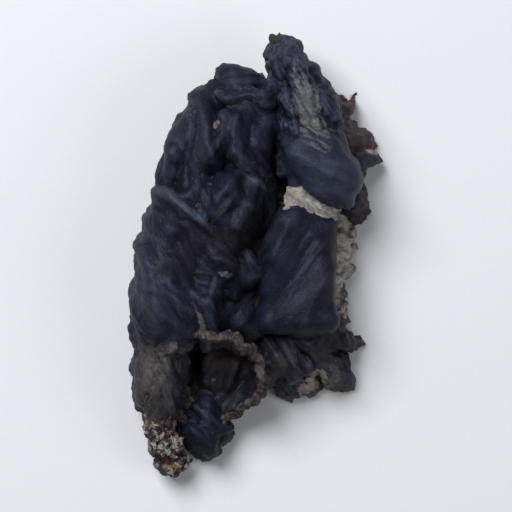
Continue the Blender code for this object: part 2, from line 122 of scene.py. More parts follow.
# The ears. One row for each: middle is the crown of the ear or the floor of a cup,
# and rim goes round its widest outline, counter-clockwise from above: x, y, height,
# and how far the sheet turns on below it. grain is the heading of its pleats, pleat
# their height, gap their distance, frill and waves the height and number of the
# margin's waves, and folds its main creases: from x, y to x, y, height and half width.
# Some have flat, how late the ear turns down, bead, how thick its margin is rolled, and
# even, over what share of the way round the ear is evened out inside a torn margin.
# Millimetres and degrees.

earRows = {
    "leftShell": dict(
        middle=(-6, 8, 13.4),
        rim=[
            (0.6, -3, 8, 10), (1.9, 5, 7, 40), (2.2, 13, 8, 30), (2.4, 19.5, 9, 0),
            (-4.5, 20.4, 9, 30), (-8, 17.8, 7, 40), (-10.8, 11, 5.5, 40), (-13.6, 2, 4.5, 40),
            (-15.2, -7, 4, 40), (-12.5, -12, 6, -10), (-5.5, -8.8, 8, -20),
        ],
        grain=-68, pleat=0.6, gap=4, frill=0.4, waves=5, seed=1,
        folds=[
            (-6.6, 19, -5.6, 11, 1.4, 0.9), (-4.2, 10.4, -6, 9.4, -2.4, 1.2),
            (-5.6, 4.6, -3, 9.2, 1.6, 0.8), (-1, 8.4, -2.8, 3, 1.2, 0.8),
            (-2.8, -1.6, 0.5, 1.6, -1.6, 1.2), (-5, 18.2, 2, 18.4, -2, 1.1),
        ],
    ),
    "leftFlank": dict(
        middle=(-9.4, 12, 12.2),
        rim=[
            (-8.6, 4.5, 10, -20), (-6.6, 10.5, 12.2, 20), (-6.8, 17, 12.2, 30), (-8, 18.2, 9, 20),
            (-10.2, 13.8, 6.5, 20), (-12.2, 6.8, 5.5, 20),
        ],
        grain=-105, pleat=0.45, gap=2.8, frill=0.3, waves=5, seed=21,
        folds=[(-8, 17, -8.8, 8, 0.9, 0.8), (-9.6, 15.4, -11, 7.6, 0.8, 0.8)],
    ),
    "upperLobe": dict(
        middle=(-0.8, 14.4, 14.6),
        rim=[
            (1.2, 9.4, 11.5, 0), (2.2, 13, 10.5, 30), (2.2, 17.8, 12, 10), (-1.4, 19, 13.5, -10),
            (-4.4, 17.4, 14, 10), (-4.8, 14.2, 14, 20), (-2.4, 11.4, 13.8, 20),
        ],
        grain=-50, pleat=0.35, gap=2.8, frill=0.2, waves=4, seed=22,
        folds=[
            (-2.6, 12, 0.8, 9.6, 1, 0.6), (-2.8, 12.4, -2.6, 16.6, 0.8, 0.6),
            (-1, 13.2, -0.6, 15.8, -1.2, 1),
        ],
    ),
    "lowerFace": dict(
        middle=(-10, -1.5, 14),
        rim=[
            (-6, -9.6, 9.5, -20), (-5.4, -4.6, 11.5, 10), (-3.4, -1.4, 13.4, 10),
            (-6.2, 4, 14.2, 30), (-9.2, 6.2, 13.4, 30), (-12.2, 7.4, 9, 10), (-14.8, 1, 5.5, 30),
            (-16.2, -6, 4.5, 40), (-14.8, -12.6, 7, 0), (-10, -12.8, 9.5, -30),
        ],
        grain=-52, pleat=0.42, gap=3, frill=0.25, waves=6, seed=23,
        folds=[
            (-12.4, 7.4, -6.6, 3.6, 0.9, 0.8), (-4.8, -1.2, -3.6, -2.2, 1.5, 0.9),
            (-10.2, 1, -7.8, -4.5, -1.3, 1.1), (-13.8, 0.5, -12, -9.5, 0.8, 0.9),
            (-6.7, -6.5, -6.4, -11, 1.6, 0.7), (-11, -4, -8.8, -10, 0.7, 0.7),
        ],
    ),
    "crownRoll": dict(
        middle=(-1.6, 20, 14.8),
        rim=[
            (2.2, 18.8, 12.5, 40), (2.6, 20.8, 9, 40), (-1.5, 21.4, 8.5, 60), (-4.2, 20.8, 9, 40),
            (-5, 19.2, 12.5, 40), (-2, 18.4, 13.4, 70),
        ],
        grain=10, pleat=0.5, gap=2.4, frill=0.2, waves=4, seed=2,
        folds=[(-3.8, 20.4, 0.6, 20.6, -2.2, 0.8), (-4, 22, 1.4, 22, 1, 0.7)],
    ),
    "pleated": dict(
        middle=(5.8, 18.6, 12.4),
        rim=[
            (10.6, 12.8, 10, -40), (10.4, 17.4, 6.5, -10), (8.9, 20.8, 6, 0), (5.9, 24, 6, -10),
            (4.2, 26.8, 6, -50), (3, 27.2, 6.5, -60), (2.4, 24.4, 7.5, -30), (1.7, 20.8, 8.5, 0),
            (1.8, 17, 9, 0), (4.2, 11.8, 11.5, -40),
        ],
        grain=-64, pleat=0.6, gap=1.7, frill=0.25, waves=5, seed=3,
        folds=[
            (3.6, 26.6, 7.8, 15.4, 0.9, 0.5), (2.8, 23.6, 5.4, 13.8, 0.8, 0.5),
            (6.6, 22.8, 9.4, 16.2, 0.7, 0.5), (3.6, 21.6, 6.4, 14.8, -0.9, 0.5),
            (5.6, 22.2, 8.4, 15.6, -0.8, 0.4),
        ],
    ),
    "rightFringe": dict(
        middle=(8.5, 12, 7.8),
        rim=[
            (8, 3, 3, -40), (12.4, 4.2, 1.4, -40), (13.8, 5.6, 0.6, -40), (14.3, 7.8, 0.4, -50),
            (12.8, 9, 2.6, -50), (13.8, 10.3, 3, -60), (16, 11.9, 2.4, -70), (13.6, 12.7, 3, -60),
            (13, 13.3, 2.2, -60), (15.4, 13.8, 0.2, -60), (13.2, 15.4, 1.2, -60),
            (11.2, 17.2, 2, -50), (11.4, 18.4, 1.2, -60), (13.2, 19.8, -0.4, -60),
            (10.8, 20.2, 0.6, -50), (8.2, 20.6, 1.8, -30), (4, 19.4, 3, -30), (2, 10, 3, -40),
        ],
        grain=20, pleat=0.4, gap=2.2, frill=0.25, waves=7, seed=4, even=0.22,
        folds=[(9, 11, 14.8, 11.8, 0.6, 0.6), (8, 13, 13.8, 14.2, 0.6, 0.6)],
    ),
    "smoothLobe": dict(
        middle=(7.8, 11.4, 13.8),
        rim=[
            (12.2, 6.4, 10.5, -20), (12.5, 11, 10, -10), (9.6, 15.6, 11, -50), (4.4, 15.6, 11, -50),
            (2.7, 11.8, 11.2, -20), (3.1, 8.2, 12, -30), (5.4, 7.6, 12.6, -50),
            (7.4, 6.5, 12.7, -50), (10.2, 5, 11.8, -40),
        ],
        grain=-30, pleat=0.3, gap=3.4, frill=0.15, waves=3, seed=5, flat=4,
        folds=[(4.6, 12.2, 11.6, 8.2, 0.7, 1.3), (3.2, 12.6, 4.6, 8.6, -0.7, 1)],
    ),
    "paleLip": dict(
        middle=(6.4, 6.4, 12.1),
        rim=[
            (3.9, 5, 11.8, -50), (6.8, 3.7, 11.5, -50), (9.3, 3.1, 11, -50), (10.2, 5.6, 11.2, -50),
            (7.6, 9.2, 11.8, -50), (3.8, 8.6, 11.8, -50),
        ],
        grain=-30, pleat=0.1, gap=2, frill=0.1, waves=3, seed=6,
    ),
    "panel": dict(
        middle=(5.8, -3, 12.6),
        rim=[
            (5.2, -10.7, 9.9, 10), (8.8, -10.1, 9.6, 10), (9.7, -8, 9.8, 0), (9.9, -1, 9.8, -10),
            (9.9, 4, 10, -20), (6.6, 5.6, 10.2, -20), (3.2, 5, 10, -10), (1.8, 0.6, 9.8, 0),
            (1.1, -5.4, 9.8, 0), (1.3, -9.9, 9.9, 10),
        ],
        grain=55, pleat=0.28, gap=4, frill=0.15, waves=3, seed=7, flat=5,
        folds=[
            (3, -8, 7.8, 0.6, 0.3, 0.5), (6, -9, 9.4, -2, 0.3, 0.5), (2.2, -1, 4, 3.4, 0.3, 0.6),
            (1.6, -9.2, 9.4, -8.8, 0.7, 0.9),
        ],
    ),
    "paleEdge": dict(
        middle=(8.5, -1.5, 8),
        rim=[
            (9, -10, 2, -20), (11.1, -7.6, 0.6, -30), (10.6, -4.6, 1.8, -30),
            (11.9, -1.6, 0.4, -40), (11.2, 1, 1.4, -30), (11.7, 4, 0.6, -40), (7, 6, 4, -20),
            (5, -3, 5, -20),
        ],
        grain=5, pleat=0.6, gap=1.7, frill=0.4, waves=9, seed=8, even=0.2,
    ),
    "facet": dict(
        middle=(-2.4, -6.2, 9.8),
        rim=[
            (1.6, -9.8, 7, -20), (2.2, -5, 6, -10), (1.2, -1, 6, -20), (-3.2, -1.4, 8, 0),
            (-6.4, -5.5, 8, 0), (-6, -8.8, 8, -20), (-2.4, -10.4, 7.5, -20),
        ],
        grain=40, pleat=0.35, gap=3, frill=0.3, waves=4, seed=9,
    ),
    "lowerRight": dict(
        middle=(5, -12.6, 7.8),
        rim=[
            (1.4, -17.8, 1.6, -40), (3, -18.5, 0.8, -50), (4.6, -18.8, 0.6, -50),
            (6.4, -18, 0.9, -50), (7.2, -16.6, 2.2, -50), (9, -17.2, 1.2, -50),
            (10.8, -17.8, 0.2, -60), (11.5, -16.6, 0.8, -60), (12, -14.8, 1, -60),
            (10, -13.3, 3.2, -50), (13.3, -11.7, 0.6, -60), (12.1, -10.2, 1.6, -50),
            (11.4, -8.6, 1.8, -40), (7, -7, 4, -30), (0.6, -9, 5, -30), (0.2, -15, 3.5, -30),
        ],
        grain=-50, pleat=0.5, gap=2, frill=0.4, waves=9, seed=10, even=0.22,
        folds=[
            (5.5, -11.5, 10.8, -17.8, 0.8, 0.6), (4.6, -12, 5.2, -18.4, 0.7, 0.6),
            (6, -11, 12.2, -11.6, 0.7, 0.6), (6.5, -13, 8.8, -17.2, -0.8, 0.6),
        ],
    ),
    "archCup": dict(
        middle=(-5.3, -17, 3.4),
        rim=[
            (-3, -21.6, 6, -20), (0.8, -19.2, 8.5, -20), (1.7, -14.6, 10.8, -25),
            (-0.7, -11, 12.4, -25), (-6.3, -10, 13, -25), (-10.8, -11.6, 12, -20),
            (-12.6, -15, 10, -15), (-11, -19.5, 8, -10), (-9, -23, 5.5, -10), (-6, -23.6, 4, -30),
        ],
        grain=60, pleat=0.45, gap=2.8, frill=0.25, waves=7, seed=11, bead=1.6,
        folds=[(-6.4, -11, -6, -17, 1.4, 0.8), (-2, -12.5, -3.6, -17.5, 1.2, 0.8)],
    ),
    "lowerLeft": dict(
        middle=(-12.4, -16, 9.6),
        rim=[
            (-10.2, -20.6, 3.4, -10), (-8.8, -17, 6.5, -30), (-10.5, -11, 9.5, -40),
            (-14.2, -10.6, 6.5, -10), (-14.8, -16, 2.4, 20), (-14.2, -19.6, 1.8, 20),
            (-12.8, -21.4, 2.2, 0),
        ],
        grain=-75, pleat=0.6, gap=2.2, frill=0.35, waves=6, seed=12,
        folds=[(-14.6, -12, -14, -20, 0.9, 0.9), (-12, -12, -11.6, -19.4, 0.9, 0.8)],
    ),
    "bottomLobe": dict(
        middle=(-6.9, -22.8, 5.2),
        rim=[
            (-7.2, -26.6, 0.8, 0), (-5.6, -25.4, 1.3, 0), (-5.3, -21.8, 3, -10),
            (-6.8, -18.6, 4, -20), (-9.2, -21, 4, -10), (-8.9, -25, 1.4, 0),
        ],
        grain=-60, pleat=0.6, gap=1.8, frill=0.3, waves=5, seed=13,
        folds=[(-7.6, -20.5, -4.8, -23.6, 1.2, 0.7), (-8.4, -22.6, -6, -25.6, 0.8, 0.6)],
    ),
    "innerLeft": dict(
        middle=(-5, 4.5, 2.6),
        rim=[
            (1, -2, 7, 20), (1, 6, 7, 10), (-2, 13, 7, 0), (-7, 14, 8, 20), (-10, 8, 7, 30),
            (-10, 0, 8, 20), (-6, -6, 8, 0),
        ],
        grain=70, pleat=1, gap=3, frill=0.8, waves=6, seed=14,
        folds=[(-4, -3, -6.4, 11, 1.6, 0.9), (-1, 1, -3, 11, -1.6, 0.9)],
    ),
    "innerRight": dict(
        middle=(4, -2.5, 2.4),
        rim=[
            (1, -8, 6, 20), (6, -8, 6.5, 20), (8.6, -2, 6.5, 20), (7.5, 5, 6.5, 10), (3, 7, 7, 0),
            (0.5, 2, 7, 20),
        ],
        grain=100, pleat=0.9, gap=2.6, frill=0.7, waves=6, seed=15,
        folds=[(3.6, -7, 4.4, 5, 1.4, 0.8)],
    ),
}

# Uneven lumps of flesh: middle and half sizes
lumpRows = {
    "core": ((1.5, -2.0, 6.6), (3.4, 7.0, 1.6)),
    "footHigh": ((-12.5, -22.0, 4.6), (1.8, 2.1, 2.7)),
    "footLeft": ((-13.2, -23.4, 3.4), (0.9, 1.5, 2.1)),
    "footMiddle": ((-11.9, -25.0, 3.9), (1.9, 1.8, 2.6)),
    "footLow": ((-11.2, -27.4, 2.9), (1.7, 1.5, 2.1)),
}

# How each ear dried: fine is how strongly it is finely wrinkled, tone its colour from
# blue-black (0) to grey-brown (1), bloom how much pale bloom lies on it and how strongly
# its crests get a painted highlight, pale how much of it is bare cream flesh, rim how tan
# its margin is, nicked how ragged the margin is, and cornered how straight the margin
# runs between its corners. What an ear doesn't say is plain.
plainLook = dict(pale=0.0, rim=0.0, nicked=1.0, cornered=0.0)
earLooks = {
    "leftShell": dict(fine=0.5, tone=0.08, bloomAndSheen=0.3),
    "leftFlank": dict(fine=0.6, tone=0.12, bloomAndSheen=0.45),
    "upperLobe": dict(fine=0.35, tone=0.05, bloomAndSheen=0.25),
    "lowerFace": dict(fine=0.55, tone=0.12, bloomAndSheen=0.45, rim=0.1, cornered=0.2),
    "crownRoll": dict(fine=0.5, tone=0.05, bloomAndSheen=0.3),
    "pleated": dict(fine=0.9, tone=0.15, bloomAndSheen=0.75, rim=0.1, nicked=0.8, cornered=0.4),
    "rightFringe": dict(fine=0.8, tone=0.4, bloomAndSheen=0.3, rim=0.4, cornered=0.7),
    "smoothLobe": dict(fine=0.25, tone=0.0, bloomAndSheen=0.6, nicked=0.4, cornered=0.3),
    "paleLip": dict(fine=0.4, tone=0.5, bloomAndSheen=0.5, pale=1.0, rim=0.5, nicked=1.4, cornered=0.7),
    "panel": dict(fine=0.18, tone=0.0, bloomAndSheen=0.22, nicked=0.3, cornered=0.4),
    "paleEdge": dict(fine=0.55, tone=0.9, bloomAndSheen=0.5, pale=0.62, rim=1.0, nicked=1.3, cornered=0.7),
    "facet": dict(fine=0.4, tone=0.3, bloomAndSheen=0.1, rim=0.1),
    "lowerRight": dict(fine=0.9, tone=0.45, bloomAndSheen=0.4, rim=0.6, nicked=1.4, cornered=0.9),
    "archCup": dict(fine=0.8, tone=0.45, bloomAndSheen=0.2, rim=0.65, nicked=0.6),
    "lowerLeft": dict(fine=1.0, tone=0.5, bloomAndSheen=0.4, rim=0.6, nicked=1.2, cornered=0.3),
    "bottomLobe": dict(fine=0.7, tone=0.1, bloomAndSheen=0.15, rim=0.2, nicked=1.2, cornered=0.5),
    "innerLeft": dict(fine=0.8, tone=0.6, bloomAndSheen=0.2, rim=0.3),
    "innerRight": dict(fine=0.8, tone=0.6, bloomAndSheen=0.2, rim=0.3),
}

flesh = dict(
    sheet=0.62,  # thickness of an ear, and its share at the margin
    margin=0.5,
    bead=1.2,  # how much thicker a beaded margin is here than the row says
    beadFrom=0.75,  # how far out the sheet starts to change towards its margin
    flat=2.8,  # how late an ear turns down
    stepsOut=60,
    stepsRound=180,
    voxel=0.18,  # size at which the ears are grown together
    triangles=192000,
    noiseSeed=8,
    ragged=0.10,  # how far the margin is nicked, as a share of the ear's reach
    nicks=(1.0, 2.7), smallNicks=0.7,  # how close the nicks are, and the smaller ones' share
    nickedFrom=6,  # the higher, the nearer the margin the nicks and the waves stay
    frilledFrom=2.5,
    tornFrom=0.5,  # how far out a torn margin's corners start
    buckles=((9.0, 1.1), (4.0, 0.6)),  # size and height of the buckles of drying
    pleatLong=3.0, pleatTall=2,  # sizes of a pleat beside its gap
    pleatWander=2.5, pleatStray=0.6,  # over what length pleats wander, and how far
    narrow=2.1, narrowShare=0.4,  # how close the narrow pleats are, and their height
    foldCrest=1.4,  # the higher, the rounder the crest of a fold
    floor=0.75, squash=0.05,  # height of the lowest flesh, and what is left of it below
    cut=0.6,  # height in the rows at which the lowest folds are flat
    lumpGap=2.5, lumpHeight=0.9,  # distance and height of the unevenness of a lump
    creaseGap=1.2,  # distance of the fine creases, and their height and the wrinkles'
    crease=0.15,
    wrinkle=0.07,
    closer=2.4,  # how much closer than the creases the wrinkles are
    creaseLong=3.6, creaseTall=1.6,  # sizes of a crease beside its gap
    creaseWander=2.6, creaseStray=0.55,  # over what length creases wander, and how far
    crumbGap=0.75, crumble=0.45,  # distance and height of the lumps of the torn foot
    footSkirt=0.5, footBlend=(0.85, 1.15),  # how far past its lumps the torn foot reaches
    sharpenPasses=5, sharpenShare=0.35,
)


def vectorNoise(where, size, seed):
    shift = Vector((seed * 17.3, seed * -9.1, seed * 5.7))
    return np.array([noise.noise_vector(Vector(point) / size + shift) for point in where])


def valueNoise(where, seed):
    shift = Vector((seed * 3.3, 1.7, seed * -2.9))
    return np.array([noise.noise(Vector(point) + shift) for point in where])


def ridged(value):
    # crests where the noise passes zero
    return 1 - 2.6 * np.abs(value)


def lookOf(name):
    return {**plainLook, **earLooks[name]}


def roundCurve(corners, count):
    # a smooth closed curve through the corners
    corners = np.array(corners, float)
    many = len(corners)
    t = np.linspace(0, many, count, endpoint=False)
    i = t.astype(int)
    f = (t - i)[:, None]
    a, b, c, d = (corners[(i + k) % many] for k in (-1, 0, 1, 2))
    return b + 0.5 * f * (c - a + f * (2 * a - 5 * b + 4 * c - d + f * (3 * (b - c) + d - a)))


def cornerCurve(corners, count):
    # the same places on the straight lines between the corners
    corners = np.array(corners, float)
    t = np.linspace(0, len(corners), count, endpoint=False)
    i = t.astype(int)
    f = (t - i)[:, None]
    return corners[i] * (1 - f) + corners[(i + 1) % len(corners)] * f


def bellProfile(turnEnd, steps, lateness):
    # reach and drop of a sheet that turns from level to turnEnd on its way out
    way = np.linspace(0, 1, steps + 1)[:, None]
    turn = np.radians(turnEnd)[None, :] * way**lateness
    reach = np.vstack([0 * turn[:1], np.cumsum(np.cos(turn[1:]), 0)])
    drop = np.vstack([0 * turn[:1], np.cumsum(np.sin(turn[1:]), 0)])
    widest = np.argmax(reach, axis=0)
    columns = np.arange(turn.shape[1])
    return reach / reach[widest, columns], drop / drop[widest, columns]


def sheetNormals(sheet):
    out = np.gradient(sheet, axis=0)
    along = np.roll(sheet, -1, 1) - np.roll(sheet, 1, 1)
    normal = np.cross(out, along)
    normal[0] = normal[1].mean(0)
    return normal / (np.linalg.norm(normal, axis=-1, keepdims=True) + 1e-9)


def grainPlace(where, row):
    # along the ear's grain, across it, and the height
    heading = math.radians(row["grain"])
    along = where @ np.array([math.cos(heading), math.sin(heading), 0])
    across = where @ np.array([-math.sin(heading), math.cos(heading), 0])
    return along, across, where[:, 2]


def pleatHeight(sheet, row):
    flat = sheet.reshape(-1, 3)
    along, across, height = grainPlace(flat, row)
    gap = row["gap"]
    where = np.stack([along / (gap * flesh["pleatLong"]), across / gap,
                      height / (gap * flesh["pleatTall"])], 1)
    wander = vectorNoise(flat, gap * flesh["pleatWander"], row["seed"] + 5)
    where = where + wander * flesh["pleatStray"]
    broad = ridged(valueNoise(where, row["seed"]))
    narrow = ridged(valueNoise(where * flesh["narrow"], row["seed"] + 9))
    return (row["pleat"] * (broad + flesh["narrowShare"] * narrow)).reshape(sheet.shape[:2])


def foldHeight(sheet, row):
    height = np.zeros(sheet.shape[:2])
    flat = sheet[..., :2]
    for x0, y0, x1, y1, rise, width in row.get("folds", ()):
        start, line = np.array([x0, y0]), np.array([x1 - x0, y1 - y0])
        share = np.clip((flat - start) @ line / (line @ line), 0, 1)
        away = np.linalg.norm(flat - start - share[..., None] * line, axis=-1)
        height += rise * np.exp(-((away / width) ** flesh["foldCrest"]))
    return height


def frillHeight(sheet, row):
    way = np.linspace(0, 1, sheet.shape[0])[:, None]
    heading = np.linspace(0, 2 * math.pi, sheet.shape[1], endpoint=False)
    wave = np.sin(heading * row["waves"] + row["seed"])
    wave = wave + 0.5 * np.sin(heading * (row["waves"] * 2 + 1) + row["seed"] * 2)
    return row["frill"] * wave * way**flesh["frilledFrom"]


def evened(rim, share):
    # the rim as its moving average over a share of the way round
    width = max(1, round(len(rim) * share))
    return np.mean([np.roll(rim, step - width // 2, 0) for step in range(width)], 0)


def marginPull(row, look, around, rings):
    # how far the nicks pull each point in or out
    heading = np.linspace(0, 2 * math.pi, around, endpoint=False)
    ring = np.stack([np.cos(heading), np.sin(heading), 0 * heading], 1) * len(row["rim"]) * 0.8
    broad, small = flesh["nicks"]
    nick = valueNoise(ring * broad, row["seed"] + 50)
    nick = nick + flesh["smallNicks"] * valueNoise(ring * small, row["seed"] + 51)
    way = np.linspace(0, 1, rings)[:, None]
    return 1 + flesh["ragged"] * look["nicked"] * nick[None, :] * way**flesh["nickedFrom"]


def growSheet(row, look):
    # the middle surface of an ear, as rings from its middle to its margin
    rim = roundCurve(row["rim"], flesh["stepsRound"]) * (1 - look["cornered"])
    rim += cornerCurve(row["rim"], flesh["stepsRound"]) * look["cornered"]
    middle = np.array(row["middle"], float)
    reach, drop = bellProfile(90 + rim[:, 3], flesh["stepsOut"], row.get("flat", flesh["flat"]))
    inside = evened(rim, row.get("even", 0))
    torn = ease(np.linspace(0, 1, flesh["stepsOut"] + 1), flesh["tornFrom"], 1.0)
    outline = inside + torn[:, None, None] * (rim - inside)
    sheet = np.empty(reach.shape + (3,))
    for axis in (0, 1):
        sheet[..., axis] = middle[axis] + reach * (outline[..., axis] - middle[axis])
    sheet[..., 2] = middle[2] + drop * (outline[..., 2] - middle[2])
    pull = marginPull(row, look, rim.shape[0], reach.shape[0])
    sheet = middle + (sheet - middle) * pull[..., None]
    flat = sheet.reshape(-1, 3)
    (wide, deep), (close, low) = flesh["buckles"]
    flat = (flat + vectorNoise(flat, wide, 3) * deep
            + vectorNoise(flat, close, row["seed"] + 7) * low)
    sheet = flat.reshape(sheet.shape)
    height = pleatHeight(sheet, row) + foldHeight(sheet, row) + frillHeight(sheet, row)
    sheet = sheet + sheetNormals(sheet) * height[..., None]
    floor, up = flesh["floor"], sheet[..., 2]
    sheet[..., 2] = np.where(up < floor, floor + (up - floor) * flesh["squash"], up)
    return sheet


def earObject(name, sheet, row):
    rings, around = sheet.shape[:2]
    pick([])
    bpy.ops.mesh.primitive_grid_add(x_subdivisions=rings - 1, y_subdivisions=around, size=1)
    ear = bpy.context.object
    ear.name = name
    closed = np.concatenate([sheet, sheet[:, :1]], 1)
    place(ear, closed.transpose(1, 0, 2).reshape(-1, 3) * mm)
    thick = ear.vertex_groups.new(name="thick")
    way = np.tile(np.linspace(0, 1, rings), around + 1)
    bead = row["bead"] * flesh["bead"] if "bead" in row else flesh["margin"]
    share = 1 + (bead - 1) * ease(way, flesh["beadFrom"], 1.0)
    most = share.max()
    for level in np.unique(share):
        thick.add(np.flatnonzero(share == level).tolist(), level / most, "REPLACE")
    weld(ear, 0.0005 * mm)
    modify(ear, "SOLIDIFY", thickness=flesh["sheet"] * most * mm, offset=0,
           vertex_group="thick")
    return ear


def lumpObject(name, middle, radii, seed):
    pick([])
    bpy.ops.mesh.primitive_ico_sphere_add(subdivisions=5, radius=1)
    lump = bpy.context.object
    lump.name = name
    where = read(lump, "co") * np.array(radii) + np.array(middle)
    where = where + vectorNoise(where, flesh["lumpGap"], seed) * flesh["lumpHeight"]
    place(lump, where * mm)
    return lump


def keepOuterSkin(clump):
    # the small closed bubbles inside the flesh go
    pick([clump])
    bpy.ops.mesh.separate(type="LOOSE")
    skins = sorted(bpy.context.selected_objects, key=lambda skin: len(skin.data.vertices))
    if len(skins) > 1:
        pick(skins[:-1])
        bpy.ops.object.delete()
    return skins[-1]


def growEars():
    noise.seed_set(flesh["noiseSeed"])
    sheets = {name: growSheet(row, lookOf(name)) for name, row in earRows.items()}
    print("stage: sheets grown")
    pieces = [earObject(name, sheets[name], row) for name, row in earRows.items()]
    for seed, (name, (middle, radii)) in enumerate(lumpRows.items()):
        pieces.append(lumpObject(name, middle, radii, seed + 31))
    pick(pieces)
    bpy.ops.object.join()
    clump = bpy.context.object
    clump.name = "ears"
    clump.vertex_groups.clear()
    modify(clump, "REMESH", mode="VOXEL", voxel_size=flesh["voxel"] * mm)
    modify(clump, "SMOOTH", factor=0.5, iterations=2)
    clump = keepOuterSkin(clump)
    print("stage: grown together", len(clump.data.polygons))
    return clump, sheets


def nearestSheet(where, sheets):
    # for each point: which ear it is on, how far out, and whether on its lower face
    names = list(sheets)
    middles = np.concatenate([sheets[name].reshape(-1, 3) for name in names])
    facing = np.concatenate([sheetNormals(sheets[name]).reshape(-1, 3) for name in names])
    sizes = [sheets[name].shape[0] * sheets[name].shape[1] for name in names]
    owner = np.repeat(np.arange(len(names)), sizes)
    way = np.concatenate([
        np.repeat(np.linspace(0, 1, sheets[name].shape[0]), sheets[name].shape[1])
        for name in names
    ])
    tree = kdtree.KDTree(len(middles))
    for index, point in enumerate(middles):
        tree.insert(point, index)
    tree.balance()
    found = np.array([tree.find(point)[1] for point in where])
    side = ((where - middles[found]) * facing[found]).sum(1)
    return names, owner[found], way[found], side, facing[found]


def footShare(where):
    # how much of the torn foot is at each point, in the rows' millimetres
    share = np.zeros(len(where))
    for name, (middle, radii) in lumpRows.items():
        if name.startswith("foot"):
            radii = np.array(radii) + flesh["footSkirt"]
            away = np.linalg.norm((where - middle) / radii, axis=1)
            share = np.maximum(share, 1 - ease(away, *flesh["footBlend"]))
    return share


def wrinkle(clump, sheets):
    where = read(clump, "co") / mm
    names, owner, _, _, facing = nearestSheet(where, sheets)
    height = np.zeros(len(where))
    for index, name in enumerate(names):
        mine = np.flatnonzero(owner == index)
        row, fine = earRows[name], lookOf(name)["fine"]
        along, across, up = grainPlace(where[mine], row)
        wander = vectorNoise(where[mine], flesh["creaseWander"], index + 40)
        gap = flesh["creaseGap"]
        spot = np.stack([along / (gap * flesh["creaseLong"]), across / gap,
                         up / (gap * flesh["creaseTall"])], 1)
        spot = spot + wander * flesh["creaseStray"]
        crease = ridged(valueNoise(spot, index + 3))
        small = ridged(valueNoise(spot * flesh["closer"], index + 17))
        height[mine] = fine * (flesh["crease"] * crease + flesh["wrinkle"] * small)
    crumbs = 0.5 - np.abs(vectorNoise(where, flesh["crumbGap"], 71))
    crumbs = crumbs * footShare(where)[:, None] * read(clump, "normal") * flesh["crumble"] * 2
    place(clump, (where + facing * height[:, None] + crumbs) * mm)
    print("stage: wrinkled")


def sharpen(clump):
    where = read(clump, "co")
    soft = softened(clump, where, flesh["sharpenPasses"])
    place(clump, where + (where - soft) * flesh["sharpenShare"])


def thinOut(clump):
    modify(clump, "TRIANGULATE")
    share = flesh["triangles"] / len(clump.data.polygons)
    if share < 1:
        modify(clump, "DECIMATE", ratio=share, use_collapse_triangulate=True)
    where = read(clump, "co")
    low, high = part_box("wood_ear")
    middle = (where.min(0) + where.max(0)) / 2
    shift = np.array([(low[axis] + high[axis]) / 2 - middle[axis] for axis in (0, 1)]
                     + [-flesh["cut"] * mm])
    where = where + shift
    where[:, 2] = np.maximum(where[:, 2], 0)
    place(clump, where)
    print("stage: thinned", len(clump.data.polygons), (shift / mm).round(3))
    return shift


openSky = dict(
    rings=((80, 1), (55, 5), (28, 8)),  # height in degrees, and the ways to look at it
    start=0.06, reach=60, turn=0.12,  # millimetres from the surface
    shaded=(0.55, 0.85),  # with less sky than this a lower face stays downy
)


def skyWays():
    ways = []
    for height, count in openSky["rings"]:
        for index in range(count):
            turn = 2 * math.pi * (index + 0.3) / count
            level = math.cos(math.radians(height))
            ways.append(Vector((level * math.cos(turn), level * math.sin(turn),
                                math.sin(math.radians(height)))))
    return ways


def paintShape(clump, sheets, shift):
    where, out = read(clump, "co"), read(clump, "normal")
    for name, passes in (("ridge", 3), ("fold", 24)):  # fine and broad relief
        stand = ((where - softened(clump, where, passes)) * out).sum(1) / mm
        paint(clump, name, stand)
    names, owner, way, side, _ = nearestSheet((where - shift) / mm, sheets)
    paint(clump, "way", way)
    under = 1 - ease(side, -openSky["turn"], openSky["turn"])
    for key in ("tone", "bloomAndSheen", "fine", "pale", "rim"):
        paint(clump, key, np.array([lookOf(name)[key] for name in names])[owner])
    grain = np.zeros((len(where), 3))
    for index, name in enumerate(names):
        mine = np.flatnonzero(owner == index)
        grain[mine] = np.stack(grainPlace(where[mine] / mm, earRows[name]), 1)
        grain[mine] += index * 31.7  # no two ears have the same streaks
    paint(clump, "grain", grain)
    tree = BVHTree.FromPolygons([Vector(point) for point in where],
                                [tuple(face.vertices) for face in clump.data.polygons])
    ways = skyWays()
    total = sum(ray.z for ray in ways)
    sky = np.zeros(len(where))
    for index, (point, normal) in enumerate(zip(where, out)):
        start = Vector(point + normal * openSky["start"] * mm)
        for ray in ways:
            if tree.ray_cast(start, ray, openSky["reach"] * mm)[0] is None:
                sky[index] += ray.z
    sky /= total
    paint(clump, "under", under * (1 - ease(sky, *openSky["shaded"])))
    foot = footShare((where - shift) / mm)
    paint(clump, "foot", foot)
    print("stage: shape read")
    return foot * sky


# Materials, whose maths is written as expressions

class Wire:
    def __init__(self, board, socket):
        self.board = board
        self.socket = socket

    def __add__(self, other):
        return self.board.maths("ADD", self, other)

    def __sub__(self, other):
        return self.board.maths("SUBTRACT", self, other)

    def __rsub__(self, other):
        return self.board.maths("SUBTRACT", other, self)

    def __mul__(self, other):
        return self.board.maths("MULTIPLY", self, other)

    def __pow__(self, other):
        return self.board.maths("POWER", self, other)

    def __abs__(self):
        return self.board.maths("ABSOLUTE", self, 0.0)

    __radd__ = __add__
    __rmul__ = __mul__


